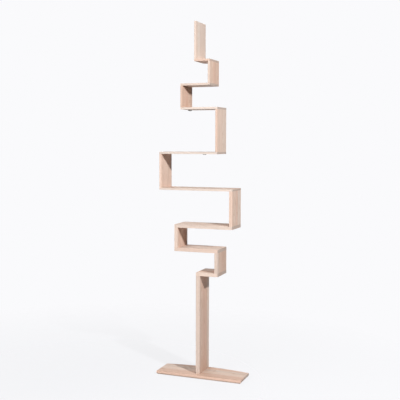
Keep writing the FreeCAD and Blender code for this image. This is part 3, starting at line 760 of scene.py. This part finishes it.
class BOOKSHELF_OT_strap_loops(bpy.types.Operator):
    """Bend the two steel loops for the wall straps and round the corners of their feet"""
    bl_idname = "bookshelf.strap_loops"
    bl_label = "Strap loops"

    def execute(self, context):
        fittings = context.scene.bookshelf_fittings
        steel = burnished_steel()
        for node_name in ("lower_strap_loop", "upper_strap_loop"):
            low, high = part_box(node_name)
            loop = self.bend_strip(fittings, high - low)
            loop.name = node_name.replace("strap_loop", "loop")
            places = undersides([(low, high)], lift=high.z - low.z)
            set_out(loop, node_name, places, steel)
            bpy.data.objects.remove(loop)
        return {"FINISHED"}

    def bend_strip(self, fittings, size):
        """A hat section whose feet lie against Z = 0, along X."""
        half = fittings.strip / 2
        end = size.x / 2
        web = end - fittings.foot - half
        foot = end - web
        drop = size.z - fittings.strip
        near = 0.01 * MM
        bpy.ops.object.select_all(action="DESELECT")
        bpy.ops.mesh.primitive_plane_add(size=1.0)
        strip = bpy.context.active_object
        edit_whole()
        resize_about((foot, size.y, 1.0))
        bpy.ops.transform.translate(value=(-end + foot / 2, 0.0, -half))
        select_only(strip, "edges", lambda edge: all(abs(v.co.x + web) < near for v in edge.verts))
        for step in ((0.0, 0.0, -drop), (2 * web, 0.0, 0.0), (0.0, 0.0, drop), (foot, 0.0, 0.0)):
            extrude_by(step)
        select_only(strip, "edges", lambda edge: len(edge.link_faces) == 2)
        bpy.ops.mesh.bevel(offset=fittings.bend, segments=5, affect="EDGES")
        select_only(strip, "verts", lambda vertex: abs(abs(vertex.co.x) - end) < near)
        bpy.ops.mesh.bevel(offset=fittings.foot_corner, segments=5, affect="VERTICES")
        bpy.ops.object.mode_set(mode="OBJECT")
        apply_modifier(strip, "metal", "SOLIDIFY", thickness=fittings.strip, offset=0.0,
                       use_even_offset=True)
        apply_modifier(strip, "edges", "BEVEL", width=0.18 * MM, segments=2, limit_method="ANGLE",
                       angle_limit=math.radians(60))
        smooth_round(strip)
        return strip


class BOOKSHELF_OT_loop_screws(bpy.types.Operator):
    """Turn the domed screws of the strap loops, with crossed recesses, threads and points"""
    bl_idname = "bookshelf.loop_screws"
    bl_label = "Loop screws"

    def execute(self, context):
        fittings = context.scene.bookshelf_fittings
        steel = bpy.data.materials["burnished_steel"]
        low, high = solids_of("lower_loop_screws")[0]
        head = (high.x - low.x) / 2
        drop = fittings.screw_head
        length = high.z - low.z - drop
        shank = fittings.screw_shank / 2
        core = shank * 0.68
        screw = turned("loop_screw", [
            (head * 0.34, -drop), (head * 0.66, -drop * 0.93), (head * 0.88, -drop * 0.72),
            (head * 0.98, -drop * 0.42), (head, -drop * 0.12), (head * 0.98, 0.0),
            (core, 0.0), (core, length * 0.72), (core * 0.55, length * 0.88),
            (core * 0.04, length)])
        for turn in (0, 90):
            cut_away(screw, self.recess_arm(head, drop, turn))
        join_into(screw, thread("loop_screw_thread", core, shank, fittings.screw_pitch,
                                0.6 * MM, length * 0.8))
        smooth_round(screw)
        for node_name in ("lower_loop_screws", "upper_loop_screws"):
            screw.name = node_name[:-1]
            places = undersides(solids_of(node_name), lift=drop)
            set_out(screw, node_name, places, steel)
        bpy.data.objects.remove(screw)
        return {"FINISHED"}

    def recess_arm(self, head, drop, turn):
        """One arm of the crossed recess, narrower at its floor."""
        bpy.ops.object.select_all(action="DESELECT")
        bpy.ops.mesh.primitive_cube_add(size=1.0, location=(0.0, 0.0, -drop),
                                        rotation=(0.0, 0.0, math.radians(turn)),
                                        scale=(head * 1.1, head * 0.24, drop * 1.3))
        arm = bpy.context.active_object
        bpy.ops.object.transform_apply(location=True, rotation=True, scale=True)
        bpy.ops.object.mode_set(mode="EDIT")
        select_only(arm, "faces", lambda face: face.normal.z > 0.5)
        resize_about((0.55, 0.55, 1.0))
        bpy.ops.object.mode_set(mode="OBJECT")
        return arm


class BOOKSHELF_OT_base_bolts(bpy.types.Operator):
    """Turn the countersunk bolts of the base plate, with hexagon sockets and cut threads"""
    bl_idname = "bookshelf.base_bolts"
    bl_label = "Base bolts"

    def execute(self, context):
        fittings = context.scene.bookshelf_fittings
        solids = solids_of("base_bolts")
        low, high = solids[0]
        head = (high.x - low.x) / 2
        length = high.z - low.z
        shank = fittings.bolt_shank / 2
        core = shank * 0.83
        edge = 0.2 * MM
        rim = 0.5 * MM
        bolt = turned("base_bolt", [
            (head - edge, 0.0), (head, edge), (head, rim), (shank, rim + head - shank),
            (shank, length * 0.42), (core, length * 0.42 + (shank - core)),
            (core, length - 0.8 * MM), (core - 0.8 * MM, length)], vertices=48)
        cut_away(bolt, self.hexagon_key(fittings))
        join_into(bolt, thread("base_bolt_thread", core, shank, fittings.bolt_pitch,
                               length * 0.44, length, steps=24))
        smooth_round(bolt, angle=30)
        set_out(bolt, "base_bolts", undersides(solids), zinc_plated_steel())
        bpy.data.objects.remove(bolt)
        return {"FINISHED"}

    def hexagon_key(self, fittings):
        """The shape of the socket, with a drilled point at its end."""
        bpy.ops.object.select_all(action="DESELECT")
        depth = fittings.bolt_socket_depth
        corner = fittings.bolt_socket / 2 / math.cos(math.radians(30))
        bpy.ops.mesh.primitive_cylinder_add(vertices=6, radius=corner, depth=2 * depth)
        key = bpy.context.active_object
        bpy.ops.object.mode_set(mode="EDIT")
        select_only(key, "faces", lambda face: face.normal.z > 0.5)
        bpy.ops.mesh.inset(thickness=corner * 0.25)
        extrude_by((0.0, 0.0, depth * 0.25))
        resize_about((0.2, 0.2, 1.0))
        bpy.ops.object.mode_set(mode="OBJECT")
        return key


class BOOKSHELF_OT_threaded_inserts(bpy.types.Operator):
    """Turn the brass inserts in the foot of the column, threaded outside and bored through"""
    bl_idname = "bookshelf.threaded_inserts"
    bl_label = "Threaded inserts"

    def execute(self, context):
        fittings = context.scene.bookshelf_fittings
        solids = solids_of("threaded_inserts")
        low, high = solids[0]
        crest = (high.x - low.x) / 2
        length = high.z - low.z
        root = crest * 0.86
        hole = fittings.insert_bore / 2
        edge = 0.4 * MM
        plain = 1.0 * MM
        sleeve = turned("threaded_insert", [
            (root - edge, 0.0), (root, edge), (root, length - edge), (root - edge, length)],
            vertices=48)
        cut_away(sleeve, turned("bore", [
            (hole + edge, -edge), (hole, edge), (hole, length - edge),
            (hole + edge, length + edge)], vertices=48))
        join_into(sleeve, thread("threaded_insert_thread", root, crest, fittings.insert_pitch,
                                 plain, length - plain, steps=24))
        smooth_round(sleeve, angle=30)
        set_out(sleeve, "threaded_inserts", undersides(solids), turned_brass())
        bpy.data.objects.remove(sleeve)
        return {"FINISHED"}


class BOOKSHELF_OT_felt_pads(bpy.types.Operator):
    """Punch the felt pads under the base plate, with soft rims and a worn, fibrous face"""
    bl_idname = "bookshelf.felt_pads"
    bl_label = "Felt pads"

    def execute(self, context):
        solids = solids_of("felt_pads")
        low, high = solids[0]
        radius = (high.x - low.x) / 2
        height = high.z - low.z
        disc = turned("felt_pad", [
            (radius * 0.35, 0.0), (radius * 0.7, 0.0), (radius * 0.93, 0.0),
            (radius * 0.98, height * 0.12), (radius, height * 0.35), (radius, height * 0.8),
            (radius * 0.985, height), (radius * 0.6, height)], vertices=64)
        self.roughen(disc, radius, height)
        smooth_round(disc, angle=80)
        set_out(disc, "felt_pads", undersides(solids), pressed_felt())
        bpy.data.objects.remove(disc)
        return {"FINISHED"}

    def roughen(self, disc, radius, height):
        """Pull the fibres of the rim a little out of true, inwards from the punched edge."""
        make_active(disc)
        bpy.ops.object.mode_set(mode="EDIT")
        select_only(disc, "verts", lambda vertex: height * 0.1 < vertex.co.z < height * 0.9)
        resize_about((0.985, 0.985, 1.0))
        bpy.ops.transform.vertex_random(offset=radius * 0.012, seed=4)
        bpy.ops.object.mode_set(mode="OBJECT")


class BOOKSHELF_OT_tongues(bpy.types.Operator):
    """Finish the loose tongues of the joints in birch plywood"""
    bl_idname = "bookshelf.tongues"
    bl_label = "Loose tongues"

    def execute(self, context):
        for name in TONGUES:
            low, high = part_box(name)
            dress(name, birch_plywood("birch_plywood_" + name, (low.x + high.x) / 2))
        return {"FINISHED"}


# ---------------------------------------------------------------- stage

def seen_ray(add):
    """1 for rays from the camera, from gloss or through glass, and 0 for the light itself."""
    path = add("LightPath").outputs
    direct = add("Math", [path["Is Camera Ray"], path["Is Glossy Ray"]], operation="MAXIMUM")
    return add("Math", [direct, path["Is Transmission Ray"]], operation="MAXIMUM")


class BOOKSHELF_OT_stage(bpy.types.Operator):
    """Lay the pale floor and set up the white room, the lamps and the camera"""
    bl_idname = "bookshelf.stage"
    bl_label = "Studio"

    def execute(self, context):
        stage = context.scene.bookshelf_stage
        self.lay_floor(stage)
        self.paint_room(context, stage)
        for name, shape in (("key", "DISK"), ("front", "SQUARE"), ("top", "SQUARE"),
                            ("back", "SQUARE")):
            place, power, size = (
                getattr(stage, "%s_%s" % (name, what)) for what in ("place", "power", "size"))
            self.hang_lamp(context, name, shape, place, power, size)
        self.set_camera(context, stage)
        return {"FINISHED"}

    def lay_floor(self, stage):
        """A disc that bounces light all over but is seen to fade into the white room."""
        bpy.ops.mesh.primitive_circle_add(
            vertices=96, radius=stage.floor_radius, fill_type="NGON", location=stage.floor_middle)
        floor = bpy.context.active_object
        floor.name = "floor"
        material, add = new_material("pale_floor")
        place = add("TexCoord").outputs["Object"]
        distance = add("VectorMath", [place], operation="LENGTH")
        fade = add("MapRange", {
            "Value": distance, "From Min": stage.floor_radius * 0.1,
            "From Max": stage.floor_radius * 0.98, "To Min": 0.0, "To Max": 1.0})
        seen = seen_ray(add)
        glow_share = add("Math", [seen, stage.glow_share], operation="MULTIPLY")
        faded_share = add("Math", [seen, fade], operation="MULTIPLY")
        paint = add("BsdfDiffuse", {"Color": stage.floor_paint})
        glow = add("Emission", {"Color": stage.floor_glow})
        lit = add("MixShader", [glow_share, paint, glow])
        faded = add("MixShader", [faded_share, lit, add("BsdfTransparent")])
        add("OutputMaterial", {"Surface": faded})
        floor.data.materials.append(material)

    def paint_room(self, context, stage):
        """A white room seen by the camera, gloss and glass; the lamps alone give the light."""
        world = bpy.data.worlds.new("room")
        world.use_nodes = True
        context.scene.world = world
        world.node_tree.nodes.clear()
        add = functools.partial(add_node, world.node_tree)
        white = add("Background", {"Color": stage.room, "Strength": seen_ray(add)})
        add("OutputWorld", {"Surface": white})

    def hang_lamp(self, context, name, shape, place, power, size):
        """An area lamp at a place, turned to face the middle of the bookshelf."""
        lamp = bpy.data.lights.new(name, "AREA")
        lamp.shape = shape
        lamp.energy = power
        lamp.size = size
        held = bpy.data.objects.new(name, lamp)
        context.scene.collection.objects.link(held)
        held.location = place
        middle = (CAD_BOX[0] + CAD_BOX[1]) / 2
        held.rotation_euler = (middle - Vector(place)).to_track_quat("-Z", "Y").to_euler()

    def set_camera(self, context, stage):
        """A camera at the eye, turned, tilted and rolled from looking level at the front."""
        lens = bpy.data.cameras.new("camera")
        lens.sensor_width = 36.0
        lens.lens = stage.lens
        lens.clip_end = 60.0
        camera = bpy.data.objects.new("camera", lens)
        context.scene.collection.objects.link(camera)
        camera.matrix_world = (Matrix.Translation(stage.eye)
                               @ Matrix.Rotation(stage.turn, 4, "Z")
                               @ Matrix.Rotation(math.radians(90) + stage.tilt, 4, "X")
                               @ Matrix.Rotation(stage.roll, 4, "Z"))
        context.scene.camera = camera


# ---------------------------------------------------------------- add-on

class BOOKSHELF_PT_panel(bpy.types.Panel):
    """Lists the steps of the bookshelf"""
    bl_idname = "BOOKSHELF_PT_panel"
    bl_label = "Spine bookshelf"
    bl_space_type = "VIEW_3D"
    bl_region_type = "UI"
    bl_category = "Bookshelf"

    def draw(self, context):
        for operator in OPERATORS:
            self.layout.operator(operator.bl_idname)


OPERATORS = (
    BOOKSHELF_OT_boards, BOOKSHELF_OT_tongues, BOOKSHELF_OT_strap_loops, BOOKSHELF_OT_loop_screws,
    BOOKSHELF_OT_base_bolts, BOOKSHELF_OT_threaded_inserts, BOOKSHELF_OT_felt_pads,
    BOOKSHELF_OT_stage)
CLASSES = (OakSettings, FittingSettings, StageSettings) + OPERATORS + (BOOKSHELF_PT_panel,)


def register():
    for item in CLASSES:
        bpy.utils.register_class(item)
    bpy.types.Scene.bookshelf_oak = PointerProperty(type=OakSettings)
    bpy.types.Scene.bookshelf_fittings = PointerProperty(type=FittingSettings)
    bpy.types.Scene.bookshelf_stage = PointerProperty(type=StageSettings)


def unregister():
    del bpy.types.Scene.bookshelf_stage
    del bpy.types.Scene.bookshelf_fittings
    del bpy.types.Scene.bookshelf_oak
    for item in reversed(CLASSES):
        bpy.utils.unregister_class(item)


def main():
    register()
    bpy.ops.bookshelf.boards()
    bpy.ops.bookshelf.tongues()
    bpy.ops.bookshelf.strap_loops()
    bpy.ops.bookshelf.loop_screws()
    bpy.ops.bookshelf.base_bolts()
    bpy.ops.bookshelf.threaded_inserts()
    bpy.ops.bookshelf.felt_pads()
    bpy.ops.bookshelf.stage()
    bpy.context.scene.view_settings.view_transform = "Standard"


if __name__ == "__main__":
    main()
